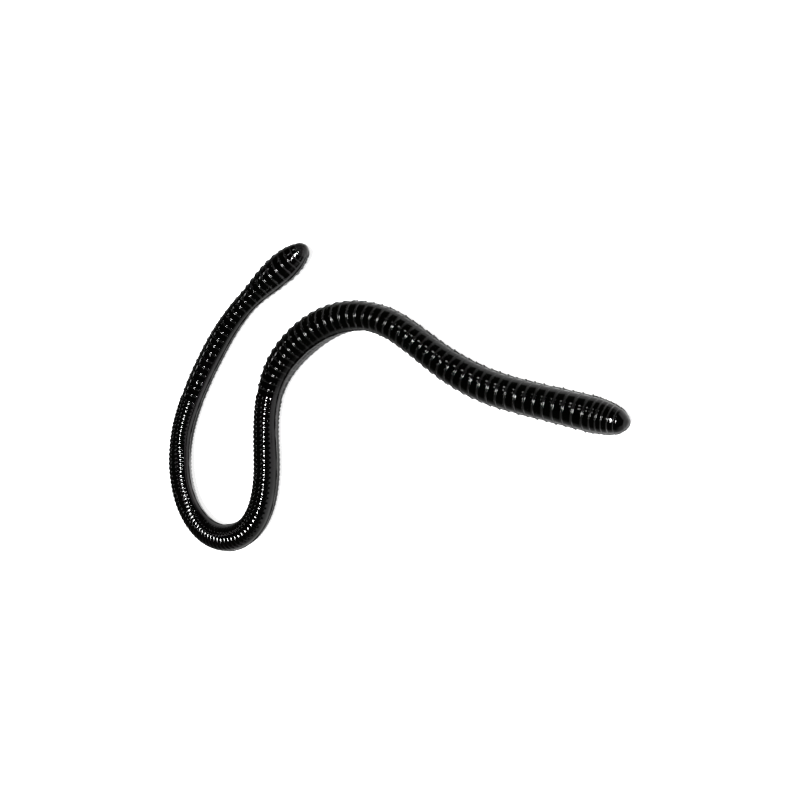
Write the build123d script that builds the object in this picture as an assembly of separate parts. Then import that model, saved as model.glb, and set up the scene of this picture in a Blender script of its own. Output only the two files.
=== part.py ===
"""Soft plastic fishing worm, ringed body with a finely ribbed middle and a bulb tail.

The real lure is one solid piece of soft plastic, cast in a two-part mould.  It bends
anywhere along its length, so the body is divided here into lengths of the same casting.
Each length meets the next at a ring groove.  The front length ends in a spherical dome
and the next one starts in a matching cup, both centred on the point the body flexes
about, so neighbouring lengths can turn without touching.

Millimetres.  +Z is up, the worm lies on the plane Z = 0 in the loose curve it rests in.
+X runs towards the nose end, +Y towards the tail bulb's side.
The origin is the centre of the footprint, on that plane.
"""

from build123d import *
import math
import os

os.makedirs("parts", exist_ok=True)

# ---------------------------------------------------------------- driving dimensions
OVERALL_LENGTH = 165.0      # nose to tail along the body
RING_PITCH = 1.4475         # wide rings, front part, neck and tail bulb
RIB_PITCH = 0.7617          # fine ribs of the middle part
RING_DEPTH = 0.16           # groove depth between wide rings
RIB_DEPTH = 0.10            # groove depth between fine ribs
NOSE_CONE = 5.53            # closely ringed nose, ahead of the first wide ring
FRONT_LENGTHS = 8           # lengths of the front body
NECK_LENGTHS = 3            # lengths of the slim neck ahead of the bulb
MID_LENGTHS = 11            # lengths of the finely ribbed middle
RINGS_PER_LENGTH = 5
RIBS_PER_LENGTH = 7
NOSE_WIDE_RINGS = 5         # wide rings carried by the nose length
BULB_WIDE_RINGS = 7         # wide rings carried by the tail bulb
FLEX_GAP = 0.03             # clearance between each dome and its cup
DOME_RATIO = 1.14           # dome radius over body radius at the joint
NOSE_LEVEL = 7.5            # ahead of this the nose stays level
BULB_LEVEL = 157.6          # behind this the bulb's tip stays level

# Closely spaced rings of the nose, distance from the nose tip
NOSE_RINGS = (1.27, 2.05, 2.85, 3.60, 4.45)

# Centreline of the resting curve, equally spaced points from nose to tail
PATH_POINTS = [
    (42.67, -1.78), (39.09, -0.98), (35.52, -0.17), (31.94, 0.63), (28.35, 1.42),
    (24.80, 2.32), (21.33, 3.47), (17.98, 4.96), (14.79, 6.75), (11.72, 8.75), (8.65, 10.76),
    (5.43, 12.53), (1.96, 13.74), (-1.68, 14.17), (-5.32, 13.75), (-8.79, 12.61),
    (-11.98, 10.85), (-14.82, 8.57), (-17.18, 5.79), (-18.84, 2.55), (-19.64, -1.02),
    (-19.73, -4.69), (-19.59, -8.35), (-19.76, -12.02), (-20.65, -15.59), (-22.58, -18.74),
    (-25.60, -20.92), (-29.24, -21.69), (-32.89, -21.10), (-36.09, -19.26), (-38.47, -16.45),
    (-39.90, -13.05), (-40.42, -9.41), (-40.11, -5.75), (-39.10, -2.22), (-37.60, 1.14),
    (-35.79, 4.34), (-33.78, 7.41), (-31.60, 10.37), (-29.24, 13.18), (-26.63, 15.78),
    (-23.76, 18.08), (-20.68, 20.07), (-17.48, 21.86), (-14.25, 23.59), (-11.07, 25.41),
]

# Body radius against distance from the nose tip
RADII = [
    (0.00, 0.89), (0.45, 1.29), (1.00, 1.63), (1.70, 1.90), (2.50, 2.11), (3.50, 2.28),
    (4.50, 2.39), (5.53, 2.44), (7.50, 2.46), (14.00, 2.42), (22.00, 2.45), (28.50, 2.38),
    (32.50, 2.29), (36.50, 2.24), (40.60, 2.22), (45.00, 2.26), (49.60, 2.41), (54.20, 2.52),
    (58.70, 2.54), (63.00, 2.51), (67.20, 2.34), (70.70, 2.19), (79.00, 2.16), (91.00, 2.18),
    (100.00, 2.23), (107.00, 2.06), (115.00, 2.00), (128.00, 2.01), (132.70, 1.99),
    (137.00, 1.97), (141.60, 1.92), (146.00, 1.84), (150.50, 1.88), (153.00, 2.07),
    (155.10, 2.26), (157.50, 2.42), (159.60, 2.46), (161.20, 2.32), (162.60, 2.03),
    (163.80, 1.60), (164.60, 1.14), (165.00, 0.72),
]


def radius_at(s):
    """Body radius at a distance from the nose tip, eased between table rows."""
    rows = RADII
    if s <= rows[0][0]:
        return rows[0][1]
    for i in range(len(rows) - 1):
        s0, r0 = rows[i]
        s1, r1 = rows[i + 1]
        if s <= s1:
            before = rows[i - 1] if i else (2 * s0 - s1, 2 * r0 - r1)
            after = rows[i + 2] if i + 2 < len(rows) else (2 * s1 - s0, 2 * r1 - r0)
            m0 = (r1 - before[1]) / (s1 - before[0])
            m1 = (after[1] - r0) / (after[0] - s0)
            t = (s - s0) / (s1 - s0)
            h = s1 - s0
            return (
                (2 * t**3 - 3 * t**2 + 1) * r0
                + (t**3 - 2 * t**2 + t) * h * m0
                + (-2 * t**3 + 3 * t**2) * r1
                + (t**3 - t**2) * h * m1
            )
    return rows[-1][1]


# ---------------------------------------------------------------- centreline
PATH = Spline(*[(x, y, 0) for x, y in PATH_POINTS])
PATH_SCALE = OVERALL_LENGTH / PATH.length


def place_at(s):
    """Centreline point and heading at a distance from the nose tip."""
    t = min(max(s / OVERALL_LENGTH, 0.0), 1.0)
    p = PATH @ t
    d = (PATH % t).normalized()
    over = s - t * OVERALL_LENGTH
    p = p * PATH_SCALE + d * over
    # the underside lies on the plane Z = 0 all the way along, and the two rounded
    # tips stay level with the body behind them
    rest = min(max(s, NOSE_LEVEL), BULB_LEVEL)
    return Vector(p.X, p.Y, radius_at(rest)), d


def section(s, r):
    """Round cross-section of the body."""
    p, d = place_at(s)
    frame = Plane(origin=p, x_dir=(-d.Y, d.X, 0), z_dir=(d.X, d.Y, 0))
    return frame * Circle(r)


# ---------------------------------------------------------------- ring lines
FRONT_START = NOSE_CONE
MID_START = FRONT_START + (NOSE_WIDE_RINGS + FRONT_LENGTHS * RINGS_PER_LENGTH) * RING_PITCH
NECK_START = MID_START + MID_LENGTHS * RIBS_PER_LENGTH * RIB_PITCH
BULB_START = NECK_START + NECK_LENGTHS * RINGS_PER_LENGTH * RING_PITCH
TIP_START = BULB_START + BULB_WIDE_RINGS * RING_PITCH

grooves = [(s, RING_DEPTH * 0.6) for s in NOSE_RINGS]
for n in range(NOSE_WIDE_RINGS + FRONT_LENGTHS * RINGS_PER_LENGTH):
    grooves.append((FRONT_START + n * RING_PITCH, RING_DEPTH))
for n in range(MID_LENGTHS * RIBS_PER_LENGTH):
    grooves.append((MID_START + n * RIB_PITCH, RIB_DEPTH if n else RING_DEPTH))
for n in range(NECK_LENGTHS * RINGS_PER_LENGTH + BULB_WIDE_RINGS + 1):
    grooves.append((NECK_START + n * RING_PITCH, RING_DEPTH))

# profile: a groove at every ring line, a low lip behind it, a gentle fall to the next
profile = [(0.0, radius_at(0.0)), (0.45, radius_at(0.45))]
for n, (s, depth) in enumerate(grooves):
    profile.append((s, radius_at(s) - depth))
    end = grooves[n + 1][0] if n + 1 < len(grooves) else s + RING_PITCH
    step = end - s
    if step < 0.9:
        profile.append((s + 0.5 * step, radius_at(s + 0.5 * step)))
    else:
        profile.append((s + 0.13 * step, radius_at(s + 0.13 * step)))
        profile.append((s + 0.87 * step, radius_at(s + 0.87 * step) - 0.02))
for s in (162.6, 163.4, 164.1, 164.65, OVERALL_LENGTH):
    profile.append((s, radius_at(s)))
profile = sorted({round(s, 4): r for s, r in profile}.items())


def body_between(start, end):
    """Ringed body from start to end, measured from the nose tip."""
    rows = [(start, None)] + [(s, r) for s, r in profile if start + 0.02 < s < end - 0.02]
    rows += [(end, None)]
    faces = []
    for s, r in rows:
        if r is None:
            r = _profile_radius(s)
        faces.append(section(s, r))
    return loft(faces, ruled=True)


def _profile_radius(s):
    for (s0, r0), (s1, r1) in zip(profile, profile[1:]):
        if s0 <= s <= s1:
            return r0 + (r1 - r0) * (s - s0) / (s1 - s0)
    return profile[0][1] if s < profile[0][0] else profile[-1][1]


# ---------------------------------------------------------------- joints between lengths
joint_lines = [FRONT_START + NOSE_WIDE_RINGS * RING_PITCH]
for n in range(FRONT_LENGTHS):
    joint_lines.append(joint_lines[-1] + RINGS_PER_LENGTH * RING_PITCH)
for n in range(MID_LENGTHS):
    joint_lines.append(joint_lines[-1] + RIBS_PER_LENGTH * RIB_PITCH)
for n in range(NECK_LENGTHS):
    joint_lines.append(joint_lines[-1] + RINGS_PER_LENGTH * RING_PITCH)

names = ["nose_length"]
names += [f"front_length_{n + 1:02d}" for n in range(FRONT_LENGTHS)]
names += [f"mid_length_{n + 1:02d}" for n in range(MID_LENGTHS)]
names += [f"neck_length_{n + 1:02d}" for n in range(NECK_LENGTHS)]
names += ["tail_bulb"]


def joint_at(line):
    """Flex centre, heading and dome radius for the joint at a ring line."""
    rim = _profile_radius(line) + 0.01
    dome = rim * DOME_RATIO
    back = math.sqrt(dome**2 - rim**2) - 0.05
    p, d = place_at(line - back)
    return p, d, dome


def build_lengths():
    made = []
    for n, name in enumerate(names):
        first, last = n == 0, n == len(names) - 1
        start = 0.0 if first else joint_lines[n - 1] - 0.35
        end = OVERALL_LENGTH if last else joint_lines[n] + 1.9
        body = body_between(start, end)
        if not last:
            p, d, dome = joint_at(joint_lines[n])
            ahead = Plane(origin=p, x_dir=(-d.Y, d.X, 0), z_dir=(d.X, d.Y, 0))
            beyond = ahead * Cylinder(
                4.2, 7.0, align=(Align.CENTER, Align.CENTER, Align.MIN)
            )
            beyond -= Pos(*p) * Sphere(dome)
            body -= beyond
        if not first:
            p, d, dome = joint_at(joint_lines[n - 1])
            body -= Pos(*p) * Sphere(dome + FLEX_GAP)
        solids = body.solids()
        body = max(solids, key=lambda q: q.volume)
        made.append((name, body))
    return made


lengths = build_lengths()

# ---------------------------------------------------------------- common origin
low = Vector(1e9, 1e9, 1e9)
high = Vector(-1e9, -1e9, -1e9)
for _, body in lengths:
    box = body.bounding_box()
    low = Vector(min(low.X, box.min.X), min(low.Y, box.min.Y), min(low.Z, box.min.Z))
    high = Vector(max(high.X, box.max.X), max(high.Y, box.max.Y), max(high.Z, box.max.Z))
SHIFT = Vector(-(low.X + high.X) / 2, -(low.Y + high.Y) / 2, -low.Z)

for name, body in lengths:
    placed = Pos(*SHIFT) * body
    placed.label = name
    export_step(placed, f"parts/{name}.step")
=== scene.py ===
"""Soft black plastic fishing worm: the ringed skin of one casting, in place of the CAD lengths.

The skin is built as one continuous surface and parted at ring grooves, so each piece
spans one joint; the nose and tail pieces are carried by their CAD lengths.
"""

import math

import bpy
import numpy as np
from mathutils import Matrix, Vector


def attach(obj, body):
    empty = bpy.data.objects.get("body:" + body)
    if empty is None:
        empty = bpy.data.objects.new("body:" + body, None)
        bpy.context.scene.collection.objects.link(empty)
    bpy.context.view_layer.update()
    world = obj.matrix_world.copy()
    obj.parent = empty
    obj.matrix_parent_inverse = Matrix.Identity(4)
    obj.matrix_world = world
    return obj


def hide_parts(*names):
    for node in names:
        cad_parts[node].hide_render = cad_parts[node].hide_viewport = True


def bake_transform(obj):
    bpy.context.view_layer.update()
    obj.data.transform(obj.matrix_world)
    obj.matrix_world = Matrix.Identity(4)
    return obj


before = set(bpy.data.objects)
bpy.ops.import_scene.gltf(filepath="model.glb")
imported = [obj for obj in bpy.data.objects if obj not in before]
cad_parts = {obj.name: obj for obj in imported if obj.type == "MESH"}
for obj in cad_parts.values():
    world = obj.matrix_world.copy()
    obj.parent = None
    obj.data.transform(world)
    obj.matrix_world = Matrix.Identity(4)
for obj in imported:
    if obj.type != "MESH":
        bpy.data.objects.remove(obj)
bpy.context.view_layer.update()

MM = 0.001

# ------------------------------------------------------------------ ring and skin detail
WIDE_DEPTH, FINE_DEPTH = 0.20, 0.135
LIP_RADIUS = 0.11
FLASH = 0.15

# ------------------------------------------------------------------ the studio
FLOOR_GLOW = 0.86
CEILING = 0.002
CARDS = {   # (elevation in degrees, brightness) from below upwards
    "east": [(-90, 0.6), (-70, 0.8), (-58, 1.9), (-48, 2.1), (-40, 1.25), (-25, 1.0), (-10, 0.80), (0, 0.70),
             (17, 0.60), (21, 0.02)],
    "west": [(-90, 1.5), (-60, 1.0), (-45, 0.35), (-35, 0.15), (-25, 0.10), (-10, 0.06),
             (2, 0.04), (10, 0.0)],
    "north": [(-90, 2.6), (-55, 2.2), (-42, 1.0), (-25, 0.55), (-14, 0.50), (-10, 0.40),
              (-5, 0.03), (25, 0.0)],
    "south": [(-90, 0.2), (-62, 0.3), (-52, 0.6), (-43, 1.4), (-30, 0.80), (-20, 0.40), (-8, 0.28), (0, 0.12),
              (4, 0.01)],
    "corners": [(-90, 0.0), (-65, 0.05), (-52, 0.4), (-45, 1.0), (-28, 0.7), (-15, 0.4), (0, 0.3), (12, 0.25),
                (18, 0.0)],
}
LAMPS = [   # name, direction, size east-west and north-south, power
    ("key", (0.33, -0.09, 0.94), (0.10, 0.28), 10.0),
    ("fill_a", (-0.22, 0.37, 0.90), (0.08, 0.08), 0.12),
    ("fill_b", (-0.17, 0.67, 0.72), (0.08, 0.08), 0.12),
    ("west", (-0.84, 0.135, 0.53), (0.08, 0.12), 0.14),
    ("fill_c", (0.25, -0.38, 0.89), (0.08, 0.08), 0.45),
]
rng = np.random.default_rng(17)

# ------------------------------------------------------------------ the body's sizes
LENGTH = 165.0
RING = 1.4475
RIB = 0.7617
NOSE_CONE = 5.53
NOSE_WIDE, FRONT_N, MID_N, NECK_N, BULB_WIDE = 5, 8, 11, 3, 7
PER_RING, PER_RIB = 5, 7
NOSE_RINGS = (1.27, 2.05, 2.85, 3.60, 4.45)
NOSE_LEVEL, BULB_LEVEL = 7.5, 157.6
SHIFT = (-0.217294, -1.13204, 0.031937)

PATH_POINTS = [
    (42.67, -1.78), (39.09, -0.98), (35.52, -0.17), (31.94, 0.63), (28.35, 1.42),
    (24.80, 2.32), (21.33, 3.47), (17.98, 4.96), (14.79, 6.75), (11.72, 8.75), (8.65, 10.76),
    (5.43, 12.53), (1.96, 13.74), (-1.68, 14.17), (-5.32, 13.75), (-8.79, 12.61),
    (-11.98, 10.85), (-14.82, 8.57), (-17.18, 5.79), (-18.84, 2.55), (-19.64, -1.02),
    (-19.73, -4.69), (-19.59, -8.35), (-19.76, -12.02), (-20.65, -15.59), (-22.58, -18.74),
    (-25.60, -20.92), (-29.24, -21.69), (-32.89, -21.10), (-36.09, -19.26), (-38.47, -16.45),
    (-39.90, -13.05), (-40.42, -9.41), (-40.11, -5.75), (-39.10, -2.22), (-37.60, 1.14),
    (-35.79, 4.34), (-33.78, 7.41), (-31.60, 10.37), (-29.24, 13.18), (-26.63, 15.78),
    (-23.76, 18.08), (-20.68, 20.07), (-17.48, 21.86), (-14.25, 23.59), (-11.07, 25.41),
]
RADII = [
    (0.00, 0.89), (0.45, 1.29), (1.00, 1.63), (1.70, 1.90), (2.50, 2.11), (3.50, 2.28),
    (4.50, 2.39), (5.53, 2.44), (7.50, 2.46), (14.00, 2.42), (22.00, 2.45), (28.50, 2.38),
    (32.50, 2.29), (36.50, 2.24), (40.60, 2.22), (45.00, 2.26), (49.60, 2.41), (54.20, 2.52),
    (58.70, 2.54), (63.00, 2.51), (67.20, 2.34), (70.70, 2.19), (79.00, 2.16), (91.00, 2.18),
    (100.00, 2.23), (107.00, 2.06), (115.00, 2.00), (128.00, 2.01), (132.70, 1.99),
    (137.00, 1.97), (141.60, 1.92), (146.00, 1.84), (150.50, 1.88), (153.00, 2.07),
    (155.10, 2.26), (157.50, 2.42), (159.60, 2.46), (161.20, 2.32), (162.60, 2.03),
    (163.80, 1.60), (164.60, 1.14), (165.00, 0.72),
]


def spline_through(points):
    """Smooth curve through points: a function of 0..1 chord length giving x, y."""
    p = np.array(points, float)
    t = np.concatenate([[0], np.cumsum(np.linalg.norm(np.diff(p, axis=0), axis=1))])
    h = np.diff(t)
    n = len(p)
    a = np.zeros((n, n))
    b = np.zeros((n, p.shape[1]))
    a[0, 0] = a[-1, -1] = 1.0
    a[0, 1] = a[-1, -2] = -1.0
    for i in range(1, n - 1):
        a[i, i - 1], a[i, i], a[i, i + 1] = h[i - 1], 2 * (h[i - 1] + h[i]), h[i]
        b[i] = 6 * ((p[i + 1] - p[i]) / h[i] - (p[i] - p[i - 1]) / h[i - 1])
    m = np.linalg.solve(a, b)

    def at(x):
        x = np.asarray(x, float) * t[-1]
        i = np.clip(np.searchsorted(t, x) - 1, 0, n - 2)
        u = x - t[i]
        hi = h[i][:, None]
        u = u[:, None]
        return (
            m[i] * (hi - u) ** 3 / (6 * hi)
            + m[i + 1] * u**3 / (6 * hi)
            + (p[i] / hi - m[i] * hi / 6) * (hi - u)
            + (p[i + 1] / hi - m[i + 1] * hi / 6) * u
        )

    return at


_at = spline_through(PATH_POINTS)
_fine = _at(np.linspace(0, 1, 24001))
_arc = np.concatenate([[0], np.cumsum(np.linalg.norm(np.diff(_fine, axis=0), axis=1))])
_fine *= LENGTH / _arc[-1]
_arc *= LENGTH / _arc[-1]
_dir = np.gradient(_fine, axis=0)
_dir /= np.linalg.norm(_dir, axis=1)[:, None]


def radius_at(s):
    """Eased body radius for an array of distances from the nose."""
    rows = np.array(RADII)
    x, y = rows[:, 0], rows[:, 1]
    m = np.empty(len(x))
    m[1:-1] = (y[2:] - y[:-2]) / (x[2:] - x[:-2])
    m[0], m[-1] = (y[1] - y[0]) / (x[1] - x[0]), (y[-1] - y[-2]) / (x[-1] - x[-2])
    s = np.clip(np.asarray(s, float), 0, LENGTH)
    i = np.clip(np.searchsorted(x, s, side="right") - 1, 0, len(x) - 2)
    h = x[i + 1] - x[i]
    t = (s - x[i]) / h
    return (
        (2 * t**3 - 3 * t**2 + 1) * y[i]
        + (t**3 - 2 * t**2 + t) * h * m[i]
        + (-2 * t**3 + 3 * t**2) * y[i + 1]
        + (t**3 - t**2) * h * m[i + 1]
    )


def centre_at(s):
    """Centreline points and headings in the row frame, millimetres."""
    s = np.asarray(s, float)
    x = np.interp(s, _arc, _fine[:, 0])
    y = np.interp(s, _arc, _fine[:, 1])
    d = np.stack([np.interp(s, _arc, _dir[:, 0]), np.interp(s, _arc, _dir[:, 1])], 1)
    d /= np.linalg.norm(d, axis=1)[:, None]
    z = radius_at(np.clip(s, NOSE_LEVEL, BULB_LEVEL))
    past = np.minimum(s, 0) + np.maximum(s - LENGTH, 0)
    x, y = x + past * d[:, 0], y + past * d[:, 1]
    return np.stack([x + SHIFT[0], y + SHIFT[1], z + SHIFT[2]], 1), d


def smooth(t):
    t = np.clip(t, 0, 1)
    return t * t * (3 - 2 * t)


# ------------------------------------------------------------------ ring lines
FRONT_START = NOSE_CONE
MID_START = FRONT_START + (NOSE_WIDE + FRONT_N * PER_RING) * RING
NECK_START = MID_START + MID_N * PER_RIB * RIB
BULB_START = NECK_START + NECK_N * PER_RING * RING
TIP_START = BULB_START + BULB_WIDE * RING

# each entry: (start of the ring, its length, kind, how deep)
rings = []
edges = list(NOSE_RINGS) + [FRONT_START]
for a, b in zip(edges, edges[1:]):
    rings.append((a, b - a, "nose", 0.70 * (b - a) / 0.85))
for n in range(NOSE_WIDE + FRONT_N * PER_RING):
    rings.append((FRONT_START + n * RING, RING, "wide", 1.0))
for n in range(MID_N * PER_RIB):
    rings.append((MID_START + n * RIB, RIB, "rib", 1.0))
for n in range(NECK_N * PER_RING):
    rings.append((NECK_START + n * RING, RING, "tail", 1.0))
for n in range(BULB_WIDE):
    rings.append((BULB_START + n * RING, RING, "bulb", 1.0))
rings.append((TIP_START, 1.18, "bulb", 0.75))
rings.append((TIP_START + 1.18, 1.12, "bulb", 0.55))
rings.append((TIP_START + 2.30, 0.80, "bulb", 0.40))
rings.append((TIP_START + 3.10, LENGTH - TIP_START - 3.10, "tip", 0.3))

def ridge(pitch, height, face, back, lip):
    """One ring: a narrow ridge, its steep face to the nose, then a faintly full band."""
    s1, s2 = math.radians(face), math.radians(back)
    up = (height - lip * (1 - math.cos(s1))) / math.tan(s1)
    down = (height - lip * (1 - math.cos(s2))) / math.tan(s2)
    turn = np.concatenate([np.linspace(s1, 0, 7), np.linspace(0, -s2, 7)[1:]])
    crest = up + lip * (math.sin(s1) - np.sin(turn))
    foot = crest[-1] + down
    xs = np.concatenate([[0, up * 0.33, up * 0.67], crest,
                         crest[-1] + down * np.array([0.33, 0.67, 1.0])])
    fs = np.concatenate([
        -height + np.array([0, 0.33, 0.67]) * up * math.tan(s1),
        -lip * (1 - np.cos(turn)),
        -lip * (1 - math.cos(s2)) - down * math.tan(s2) * np.array([0.33, 0.67, 1.0]),
    ])
    v = np.linspace(0, 1, 10)[1:]
    return (np.concatenate([xs, foot + (pitch - foot) * v]) / pitch,
            np.concatenate([fs, -height + 0.022 * np.sin(np.pi * v)]))


LIP_AT = 0.185     # from the start of a ring to its crest
WIDE_U, WIDE_F = ridge(RING, WIDE_DEPTH, 66, 60, LIP_RADIUS)


RIB_U = np.array([0, 0.06, 0.13, 0.21, 0.29, 0.37, 0.44, 0.50, 0.56, 0.63, 0.71, 0.79, 0.87,
                  0.94, 1.0])
RIB_F = -FINE_DEPTH * np.abs(2 * RIB_U**0.94 - 1) ** 2.2

s_rows, f_rows, kind_rows, lip_highlight_rows = [], [], [], []
for start, size, kind, deep in rings:
    if kind == "tip":
        u = np.array([0, 0.02, 0.035, 0.05, 0.07, 0.10, 0.14, 0.20, 0.28, 0.36, 0.44, 0.52,
                      0.60, 0.68, 0.75, 0.81, 0.86, 0.90, 0.935, 0.965, 0.985, 1.0])
        f = np.interp(u, [0, 0.02, 0.05, 0.09, 0.14, 0.3, 0.6, 1.0],
                      [-0.050, -0.030, -0.010, -0.004, 0.0, -0.004, -0.004, 0.0])
    elif kind == "rib":
        u, f = RIB_U, RIB_F * (1 + 0.06 * rng.standard_normal())
    else:
        u, f = WIDE_U, WIDE_F * deep * (1 + 0.05 * rng.standard_normal())
    if kind in ("rib", "tip"):
        crest = f > -0.4 * FINE_DEPTH
    else:
        start -= LIP_AT
        crest = f > -0.03
    # strength of the painted lip highlight for each kind of ring, on its crest rows
    lip_highlight_rows += list({"rib": 0.10, "tail": 0.45, "bulb": 0.9}.get(kind, 1.0) * crest[:-1])
    s_rows += list(start + u[:-1] * size)
    f_rows += list(f[:-1])
    kind_rows += [kind] * (len(u) - 1)


def dome(r0):
    """Rows of a round end that carries on from a 45 degree taper of radius r0."""
    big = r0 * math.sqrt(2)
    phi = np.radians([88, 84, 79, 73, 67, 61, 55, 50])
    return big * (np.sin(phi) - math.sin(math.radians(45))), big * np.cos(phi)


nose_s, nose_r = dome(radius_at([0.0])[0])
tail_s, tail_r = dome(radius_at([LENGTH])[0])
s_nose = [0.0, 0.12, 0.26, 0.42, 0.60, 0.80, 1.02]
lead = len(nose_s) + len(s_nose)
s_rows = list(-nose_s) + s_nose + s_rows + [LENGTH] + list(LENGTH + tail_s[::-1])
f_rows = [0.0] * (lead - 2) + [-0.01, -0.03] + f_rows + [0.0] * (len(tail_s) + 1)
kind_rows = ["nose"] * lead + kind_rows + ["tip"] * (len(tail_s) + 1)
lip_highlight_rows = np.array([0.0] * lead + lip_highlight_rows + [0.0] * (len(tail_s) + 1))
s_rows, f_rows = np.array(s_rows), np.array(f_rows)
order = np.argsort(s_rows, kind="stable")
s_rows, f_rows, lip_highlight_rows = s_rows[order], f_rows[order], lip_highlight_rows[order]
kind_rows = np.array(kind_rows)[order]
keep = np.concatenate([[True], np.diff(s_rows) > 0.004])
s_rows, f_rows, lip_highlight_rows, kind_rows = s_rows[keep], f_rows[keep], lip_highlight_rows[keep], kind_rows[keep]

# the soft casting is a touch stretched and squeezed along its length
DRAWN = [(0, 0), (1.5, 0), (5.5, -0.22), (14, -0.25), (27, -0.30), (41, -0.35), (54, -0.50),
         (70, -0.58), (78, -0.60), (88, -0.64), (98, -0.45), (110, -0.20), (118, -0.24),
         (126, -0.36), (135, -0.70), (147, -0.70), (153, -0.50), (162, -0.10), (165, 0)]
inside = (s_rows > 0) & (s_rows < LENGTH)
s_rows = np.where(inside, s_rows + np.interp(s_rows, *np.array(DRAWN, float).T), s_rows)

# around the body: even steps, closer together at the two parting lines
around = [i * 3.0 for i in range(120) if min(abs(i * 3.0 - 90), abs(i * 3.0 - 270)) > 7.6]
for side in (90.0, 270.0):
    around += [side + o for o in (-7.0, -5.6, -4.4, -3.4, -2.5, -1.7, -0.9, 0, 0.9, 1.7, 2.5,
                                  3.4, 4.4, 5.6, 7.0)]
turn = np.radians(np.array(sorted(around)))      # angle in the mould, 0 at its top
COLS = len(turn)

# the soft body lies slightly rolled in places, so the mould's top wanders off the vertical
ROLL = [(0, 0), (34, -2), (46, -10), (54, -15), (63, -14), (72, -7), (80, -1), (90, 2),
        (104, 0), (120, 0), (140, -2), (165, 0)]
roll = np.interp(s_rows, *np.array(ROLL, float).T)
theta = turn[None] + np.radians(roll)[:, None]

# how far each point is from the top or the bottom, 0, towards the parting line, 1
off_pole = np.abs(np.abs((np.degrees(turn) + 90) % 180 - 90)) / 90
wide_side = 1 - 0.15 * smooth((off_pole - 0.70) / 0.22)
rib_side = 1 - smooth((off_pole - 0.585) / 0.10)
tail_side = 1 - 0.92 * smooth((off_pole - 0.57) / 0.12)
bulb_side = 1 - 0.85 * smooth((off_pole - 0.66) / 0.14)
amplitude = {"nose": wide_side, "bulb": bulb_side, "wide": wide_side, "rib": rib_side, "tail": tail_side,
             "tip": wide_side}
amp = np.stack([amplitude[k] for k in kind_rows])
# the arch lies with its inner side on the plain band of the mould
inner = smooth((s_rows - 41) / 6)[:, None] * (np.abs(np.degrees(turn) - 120) < 66)[None]
amp = amp * (1 - inner * (kind_rows == "wide")[:, None]
             * 0.72 * smooth((np.degrees(turn) - 52) / 14)[None])
# ease from one kind of side to the next over a couple of rings
for _ in range(3):
    mixed = amp.copy()
    reach = 10
    for i in range(len(amp)):
        a, b = max(0, i - reach), min(len(amp), i + reach + 1)
        mixed[i] = amp[a:b].mean(0)
    amp = mixed

# where the soft casting sags to one side or fills out, measured against the plain curve
LEAN = [(0, 0.04), (4.5, 0), (24, 0), (28.5, 0.025), (32.5, 0.045), (36.5, 0.03), (41, -0.005),
        (44.5, -0.034), (48.5, 0), (52.5, 0.02), (60, 0.02), (64.5, 0.03), (68.5, 0.03),
        (72.5, 0), (76.5, -0.016), (80.5, -0.037), (84.5, -0.039), (88.5, 0.02),
        (92.5, 0.049), (96.5, 0.01), (104, 0), (112, 0.01), (128, 0), (136.5, -0.017),
        (140.5, 0.009), (144.5, 0.06), (148.5, 0.072), (152.5, -0.011), (156.5, -0.091),
        (160.5, -0.034), (165, 0)]
FILL = [(0, 0.08), (4.5, 0.02), (8.5, 0), (20, 0.045), (30, 0.03), (36, 0.05), (41, 0.03),
        (44.5, -0.01), (48, 0.055), (52.5, 0.11), (60, 0.085), (68.5, 0.045), (72.5, -0.025),
        (76.5, 0.005), (80.5, 0.05), (84, 0.035), (92, -0.02), (97, -0.03), (101, 0),
        (106, 0), (116, -0.02), (128, 0.035), (132, 0.09), (140, 0.11), (144.5, 0.10),
        (148.5, 0.04), (152.5, -0.01), (156.5, 0.06), (160.5, 0.08), (165, 0.13)]
base = radius_at(s_rows) + np.interp(s_rows, *np.array(FILL, float).T)
base[:len(nose_s)] = nose_r
base[len(base) - len(tail_s):] = tail_r[::-1]
level = np.where(kind_rows == "rib", -0.030, -0.050)[:, None] * (1 - amp)
r = base[:, None] + f_rows[:, None] * amp + level * smooth(base / 1.6)[:, None]
# the casting is never perfectly round: faint slow unevenness, fixed by the seed
phase = rng.uniform(0, 2 * np.pi, 12)
uneven = np.zeros_like(r)
for k in range(6):
    uneven += np.sin(s_rows[:, None] * (0.21 + 0.17 * k) + phase[k]) * np.cos(
        (k % 3 + 1) * turn[None] + phase[k + 6]
    )
r += 0.005 * uneven
# the inside of the arch is squeezed out a little low down, below the parting line
belly = np.exp(-(((s_rows - 57.5) / 7.0) ** 2))[:, None] * np.exp(
    -(((np.degrees(theta) - 112) / 34.0) ** 2)
)
r += 0.36 * belly
# and so is the upper inside of the tight bend, over a sharper shoulder
wrapped = (np.degrees(theta) + 180) % 360 - 180
hump = smooth((s_rows - 100.0) / 8.0) * smooth((123.5 - s_rows) / 6.0)
r += 0.34 * hump[:, None] * np.exp(-(((wrapped + 75) / 31.0) ** 2))
# parting line: a hair of flash standing proud, worn in places
off_line = (np.abs((np.degrees(turn) + 90) % 180 - 90) - 90) * np.radians(1.0) * 2.2
flash = np.exp(-((off_line / 0.15) ** 2))
worn = 0.75 + 0.25 * np.sin(s_rows * 1.9 + phase[0]) * np.sin(s_rows * 0.53 + phase[1])
r += FLASH * worn[:, None] * flash[None] * smooth((base - 0.9) / 1.0)[:, None]

centre, head = centre_at(s_rows)
left = np.stack([-head[:, 1], head[:, 0], np.zeros(len(head))], 1)
centre += np.interp(s_rows, *np.array(LEAN, float).T)[:, None] * left
up = np.array([0.0, 0.0, 1.0])
grid = (
    centre[:, None, :]
    + (r * np.cos(theta))[:, :, None] * up
    + (r * np.sin(theta))[:, :, None] * left[:, None, :]
)
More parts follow.
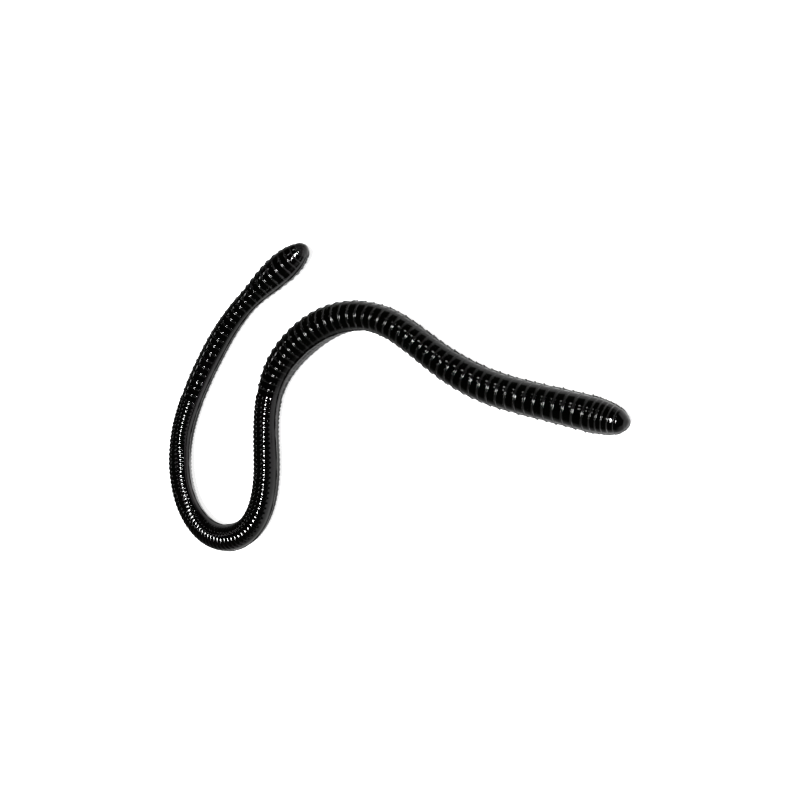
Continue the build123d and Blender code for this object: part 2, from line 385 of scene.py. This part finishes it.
# the soft underside flattens a little where it lies on the table
floor_z = 0.012
low = grid[:, :, 2] < floor_z
grid[:, :, 2] = np.where(low, floor_z - 0.1 * (floor_z - grid[:, :, 2]), grid[:, :, 2])
grid[:, :, 2] = np.maximum(grid[:, :, 2], 0.002)

# ------------------------------------------------------------------ material
def plastisol():
    mat = bpy.data.materials.new("black_plastisol")
    mat.use_nodes = True
    nt = mat.node_tree
    nt.nodes.clear()
    out = nt.nodes.new("ShaderNodeOutputMaterial")
    bsdf = nt.nodes.new("ShaderNodeBsdfPrincipled")
    coord = nt.nodes.new("ShaderNodeTexCoord")

    def noise(scale, detail=3.0, rough=0.55, distort=0.0):
        n = nt.nodes.new("ShaderNodeTexNoise")
        n.inputs["Scale"].default_value = scale
        n.inputs["Detail"].default_value = detail
        n.inputs["Roughness"].default_value = rough
        n.inputs["Distortion"].default_value = distort
        nt.links.new(coord.outputs["Object"], n.inputs["Vector"])
        return n

    def ramp(value, stops):
        c = nt.nodes.new("ShaderNodeValToRGB")
        while len(c.color_ramp.elements) > 1:
            c.color_ramp.elements.remove(c.color_ramp.elements[0])
        c.color_ramp.elements[0].position = stops[0][0]
        c.color_ramp.elements[0].color = (*stops[0][1], 1)
        for pos, colour in stops[1:]:
            e = c.color_ramp.elements.new(pos)
            e.color = (*colour, 1)
        nt.links.new(value, c.inputs["Fac"])
        return c

    def spread(value, lo, hi, a, b):
        m = nt.nodes.new("ShaderNodeMapRange")
        m.inputs["From Min"].default_value = lo
        m.inputs["From Max"].default_value = hi
        m.inputs["To Min"].default_value = a
        m.inputs["To Max"].default_value = b
        nt.links.new(value, m.inputs["Value"])
        return m

    cloud = noise(320.0, 4.0, 0.6, 0.4)       # pigment clouds, a few mm across
    grain = noise(5200.0, 2.0, 0.5)           # fine orange-peel of the mould face
    smear = noise(900.0, 3.0, 0.6, 1.2)       # oily and drier patches
    colour = ramp(
        cloud.outputs["Fac"],
        [(0.25, (0.00008, 0.00008, 0.0001)), (0.55, (0.0002, 0.0002, 0.00018)),
         (0.80, (0.0005, 0.00045, 0.0003))],
    )
    # painted sheen: the base colour turns a faint olive where the surface is seen at a grazing angle, a
    # painted stand-in for the trace of light the soft plastic lets through there
    facing = nt.nodes.new("ShaderNodeLayerWeight")
    facing.inputs["Blend"].default_value = 0.32
    edge_sheen = nt.nodes.new("ShaderNodeMix")
    edge_sheen.data_type = "RGBA"
    edge_sheen.inputs[7].default_value = (0.0016, 0.0016, 0.0009, 1)
    nt.links.new(facing.outputs["Facing"], edge_sheen.inputs[0])
    nt.links.new(colour.outputs["Color"], edge_sheen.inputs[6])
    # painted highlight: ring lips are made a little greyer, in patches, to stand in for the bright lines of
    # light they catch
    lip = nt.nodes.new("ShaderNodeAttribute")
    lip.attribute_name = "lip"
    patchy_highlight = nt.nodes.new("ShaderNodeMath")
    patchy_highlight.operation = "MULTIPLY"
    nt.links.new(lip.outputs["Fac"], patchy_highlight.inputs[0])
    nt.links.new(spread(smear.outputs["Fac"], 0.35, 0.65, 0.55, 1.0).outputs["Result"],
                 patchy_highlight.inputs[1])
    lip_highlight_grey = nt.nodes.new("ShaderNodeMix")
    lip_highlight_grey.data_type = "RGBA"
    lip_highlight_grey.inputs[7].default_value = (0.0075, 0.0075, 0.0072, 1)
    nt.links.new(patchy_highlight.outputs[0], lip_highlight_grey.inputs[0])
    nt.links.new(edge_sheen.outputs[2], lip_highlight_grey.inputs[6])
    nt.links.new(lip_highlight_grey.outputs[2], bsdf.inputs["Base Color"])

    rough = spread(smear.outputs["Fac"], 0.3, 0.7, 0.04, 0.08)
    nt.links.new(rough.outputs["Result"], bsdf.inputs["Roughness"])
    bsdf.inputs["IOR"].default_value = 1.48
    bsdf.inputs["Coat Weight"].default_value = 0.25
    bsdf.inputs["Coat Roughness"].default_value = 0.05
    bsdf.inputs["Coat IOR"].default_value = 1.42

    bump_a = nt.nodes.new("ShaderNodeBump")
    bump_a.inputs["Strength"].default_value = 0.05
    bump_a.inputs["Distance"].default_value = 0.00004
    nt.links.new(grain.outputs["Fac"], bump_a.inputs["Height"])
    bump_b = nt.nodes.new("ShaderNodeBump")
    bump_b.inputs["Strength"].default_value = 0.04
    bump_b.inputs["Distance"].default_value = 0.00006
    nt.links.new(smear.outputs["Fac"], bump_b.inputs["Height"])
    nt.links.new(bump_a.outputs["Normal"], bump_b.inputs["Normal"])
    nt.links.new(bump_b.outputs["Normal"], bsdf.inputs["Normal"])
    nt.links.new(bsdf.outputs["BSDF"], out.inputs["Surface"])
    return mat


skin = plastisol()


# ------------------------------------------------------------------ skin pieces
def closed_piece(name, first, last):
    """Rows first..last of the skin as a closed mesh, its two cut faces dished inwards."""
    rows = last - first + 1
    verts = [grid[first:last + 1].reshape(-1, 3)]
    faces = []
    for i in range(rows - 1):
        for j in range(COLS):
            k = (j + 1) % COLS
            faces.append((i * COLS + j, (i + 1) * COLS + j, (i + 1) * COLS + k, i * COLS + k))
    extra = rows * COLS
    sharp_rows = []
    for row, tip, sign in ((first, first == 0, -1), (last, last == len(s_rows) - 1, 1)):
        at = 0 if sign < 0 else (rows - 1) * COLS
        c, d = centre[row], head[row]
        heading = np.array([d[0], d[1], 0.0])
        if tip:
            reach = r[row].mean() * 0.16
            verts.append((c + sign * heading * reach)[None])
        else:
            inner = c + 0.55 * (grid[row] - c) - sign * heading * 0.12
            verts.append(inner)
            for j in range(COLS):
                k = (j + 1) % COLS
                quad = (at + j, at + k, extra + k, extra + j)
                faces.append(quad if sign < 0 else quad[::-1])
            at = extra
            extra += COLS
            verts.append((c - sign * heading * 0.20)[None])
            sharp_rows.append(0 if sign < 0 else (rows - 1) * COLS)
        for j in range(COLS):
            k = (j + 1) % COLS
            tri = (at + j, at + k, extra)
            faces.append(tri if sign < 0 else tri[::-1])
        extra += 1
    co = np.concatenate(verts) * MM
    mesh = bpy.data.meshes.new(name)
    mesh.from_pydata(co.tolist(), [], faces)
    mesh.update()
    mesh.polygons.foreach_set("use_smooth", np.ones(len(mesh.polygons), bool))
    if sharp_rows:
        pairs = np.zeros(len(mesh.edges) * 2, np.int32)
        mesh.edges.foreach_get("vertices", pairs)
        pairs = pairs.reshape(-1, 2)
        hard = np.zeros(len(mesh.edges), bool)
        for start in sharp_rows:
            hard |= ((pairs >= start) & (pairs < start + COLS)).all(1)
        attribute = mesh.attributes.get("sharp_edge") or mesh.attributes.new(
            "sharp_edge", "BOOLEAN", "EDGE"
        )
        attribute.data.foreach_set("value", hard)
    # painted lip highlight per vertex, fading where the rings fade out around the body
    lip_highlight = np.zeros(len(mesh.vertices))
    lip_highlight[:rows * COLS] = (lip_highlight_rows[first:last + 1, None] * amp[first:last + 1]).ravel()
    mesh.attributes.new("lip", "FLOAT", "POINT").data.foreach_set("value", lip_highlight)
    mesh.materials.append(skin)
    obj = bpy.data.objects.new(name, mesh)
    bpy.context.scene.collection.objects.link(obj)
    return obj


names = ["nose_length"]
names += [f"front_length_{n + 1:02d}" for n in range(FRONT_N)]
names += [f"mid_length_{n + 1:02d}" for n in range(MID_N)]
names += [f"neck_length_{n + 1:02d}" for n in range(NECK_N)]
names += ["tail_bulb"]
lines = [FRONT_START + NOSE_WIDE * RING]
for n in range(FRONT_N):
    lines.append(lines[-1] + PER_RING * RING)
for n in range(MID_N):
    lines.append(lines[-1] + PER_RIB * RIB)
for n in range(NECK_N):
    lines.append(lines[-1] + PER_RING * RING)

# the cut nearest the middle of each length, at a groove
cuts = [lines[0] - 2 * RING]
for n in range(FRONT_N):
    cuts.append(lines[n] + 2 * RING)
for n in range(MID_N):
    cuts.append(lines[FRONT_N + n] + 3 * RIB)
for n in range(NECK_N):
    cuts.append(lines[FRONT_N + MID_N + n] + 2 * RING)
cuts.append(lines[-1] + 2 * RING)
cut_rows = []
for c in cuts:
    close = np.flatnonzero(np.abs(s_rows - c) < 0.8)
    deep = close[f_rows[close] < f_rows[close].min() + 0.012]
    cut_rows.append(int(deep[np.argmin(np.abs(s_rows[deep] - c))]))

made = []
piece = closed_piece("skin_nose", 0, cut_rows[0])
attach(piece, names[0])
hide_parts(names[0])
made.append(piece)
for j in range(len(lines)):
    piece = closed_piece(f"skin_bend_{j + 1:02d}", cut_rows[j], cut_rows[j + 1])
    a, b = s_rows[cut_rows[j]], s_rows[cut_rows[j + 1]]
    ends, _ = centre_at([a + 0.10 * (b - a), b - 0.10 * (b - a)])
    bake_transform(piece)
    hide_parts(names[j + 1] if j + 1 < len(names) - 1 else names[j])
    made.append(piece)
piece = closed_piece("skin_tail", cut_rows[-1], len(s_rows) - 1)
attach(piece, names[-1])
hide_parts(names[-1])
made.append(piece)

# ------------------------------------------------------------------ floor
bpy.ops.mesh.primitive_plane_add(size=3.0, location=(0, 0, 0))
floor = bpy.context.object
floor.name = "floor"
fmat = bpy.data.materials.new("pale_floor")
fmat.use_nodes = True
ft = fmat.node_tree
ft.nodes.clear()
fout = ft.nodes.new("ShaderNodeOutputMaterial")
diff = ft.nodes.new("ShaderNodeBsdfDiffuse")
diff.inputs["Color"].default_value = (0.88, 0.88, 0.88, 1)
glow = ft.nodes.new("ShaderNodeEmission")
glow.inputs["Color"].default_value = (1, 1, 1, 1)
glow.inputs["Strength"].default_value = FLOOR_GLOW
add = ft.nodes.new("ShaderNodeAddShader")
ft.links.new(diff.outputs[0], add.inputs[0])
ft.links.new(glow.outputs[0], add.inputs[1])
ft.links.new(add.outputs[0], fout.inputs["Surface"])
floor.data.materials.append(fmat)
floor.visible_glossy = False       # the gloss mirrors the studio set in the world below

# ------------------------------------------------------------------ world
# What the glossy skin mirrors: white card low down, darker to the west, black above.
world = bpy.data.worlds.new("studio")
bpy.context.scene.world = world
world.use_nodes = True
wt = world.node_tree
wt.nodes.clear()
wout = wt.nodes.new("ShaderNodeOutputWorld")
wco = wt.nodes.new("ShaderNodeTexCoord")
sep = wt.nodes.new("ShaderNodeSeparateXYZ")
wt.links.new(wco.outputs["Generated"], sep.inputs[0])


def wmath(kind, a, b=None, clamp=False):
    n = wt.nodes.new("ShaderNodeMath")
    n.operation = kind
    n.use_clamp = clamp
    for i, v in enumerate((a, b)):
        if v is None:
            continue
        if isinstance(v, (int, float)):
            n.inputs[i].default_value = v
        else:
            wt.links.new(v, n.inputs[i])
    return n.outputs[0]


X, Y, Z = sep.outputs
flat = wmath("ADD", wmath("ADD", wmath("MULTIPLY", X, X), wmath("MULTIPLY", Y, Y)), 1e-4)
xs = wmath("DIVIDE", wmath("MULTIPLY", X, X), flat)
ys = wmath("DIVIDE", wmath("MULTIPLY", Y, Y), flat)
xs, ys = wmath("POWER", xs, 1.15), wmath("POWER", ys, 1.15)
half = wmath("MULTIPLY_ADD", Z, 0.5)
wt.nodes[-1].inputs[2].default_value = 0.5


def card(stops):
    """Brightness against height: stops are (elevation in degrees, brightness)."""
    c = wt.nodes.new("ShaderNodeValToRGB")
    while len(c.color_ramp.elements) > 1:
        c.color_ramp.elements.remove(c.color_ramp.elements[0])
    for n, (deg, v) in enumerate(stops):
        pos = 0.5 + 0.5 * math.sin(math.radians(deg))
        if n == 0:
            e = c.color_ramp.elements[0]
            e.position = pos
        else:
            e = c.color_ramp.elements.new(pos)
        e.color = (v, v, v, 1)
    wt.links.new(half, c.inputs["Fac"])
    return c.outputs["Color"]


def lobe(weight, sign_source, positive, stops):
    gate = wmath("GREATER_THAN" if positive else "LESS_THAN", sign_source, 0.0)
    return wmath("MULTIPLY", wmath("MULTIPLY", weight, gate), card(stops))


total = wmath("ADD", lobe(xs, X, True, CARDS["east"]), lobe(xs, X, False, CARDS["west"]))
total = wmath("ADD", total, lobe(ys, Y, True, CARDS["north"]))
total = wmath("ADD", total, lobe(ys, Y, False, CARDS["south"]))
xy = wmath("DIVIDE", wmath("MULTIPLY", X, Y), flat)
diagonal = wmath("MULTIPLY", wmath("MULTIPLY", xy, xy), 4.0)
total = wmath("ADD", total, lobe(diagonal, X, True, CARDS["corners"]))
total = wmath("ADD", total, CEILING)
seen = wt.nodes.new("ShaderNodeBackground")
seen.inputs["Color"].default_value = (0.97, 0.97, 0.97, 1)
mirrored = wt.nodes.new("ShaderNodeBackground")
mirrored.inputs["Color"].default_value = (1, 1, 1, 1)
wt.links.new(total, mirrored.inputs["Strength"])
path = wt.nodes.new("ShaderNodeLightPath")
mixw = wt.nodes.new("ShaderNodeMixShader")
wt.links.new(path.outputs["Is Camera Ray"], mixw.inputs[0])
wt.links.new(mirrored.outputs[0], mixw.inputs[1])
wt.links.new(seen.outputs[0], mixw.inputs[2])
wt.links.new(mixw.outputs[0], wout.inputs["Surface"])


# ------------------------------------------------------------------ lamps
def lamp(name, direction, distance, size, power):
    data = bpy.data.lights.new(name, "AREA")
    data.shape = "ELLIPSE"
    data.size, data.size_y = size
    data.energy = power
    obj = bpy.data.objects.new(name, data)
    d = Vector(direction).normalized()
    across = Vector((0, 1, 0)).cross(d).normalized()
    obj.location = d * distance
    obj.rotation_mode = "QUATERNION"
    obj.rotation_quaternion = Matrix((across, d.cross(across), d)).transposed().to_quaternion()
    bpy.context.scene.collection.objects.link(obj)
    return obj


for name, direction, size, power in LAMPS:
    lamp(name, direction, 0.75, size, power)

# ------------------------------------------------------------------ camera
A = math.radians(37.388)
F_PX = 1044.83
back = Vector((math.sin(A), 0, math.cos(A)))
right = Vector((math.cos(A), 0, -math.sin(A)))
over = Vector((0, 1, 0))
target = Vector((SHIFT[0], SHIFT[1], SHIFT[2])) * MM
cam_data = bpy.data.cameras.new("camera")
cam_data.sensor_width = 36.0
cam_data.lens = F_PX * 36.0 / 800.0
cam_data.shift_x = (400 - 370.654) / 800
cam_data.shift_y = (408.845 - 400) / 800
cam_data.clip_start = 0.005
cam_data.clip_end = 20.0
cam = bpy.data.objects.new("camera", cam_data)
turn = Matrix((right, over, back)).transposed()
cam.rotation_mode = "QUATERNION"
cam.rotation_quaternion = turn.to_quaternion()
cam.location = target + back * 0.15944
bpy.context.scene.collection.objects.link(cam)
bpy.context.scene.camera = cam

bpy.context.scene.view_settings.view_transform = "Standard"
bpy.context.scene.view_settings.look = "None"
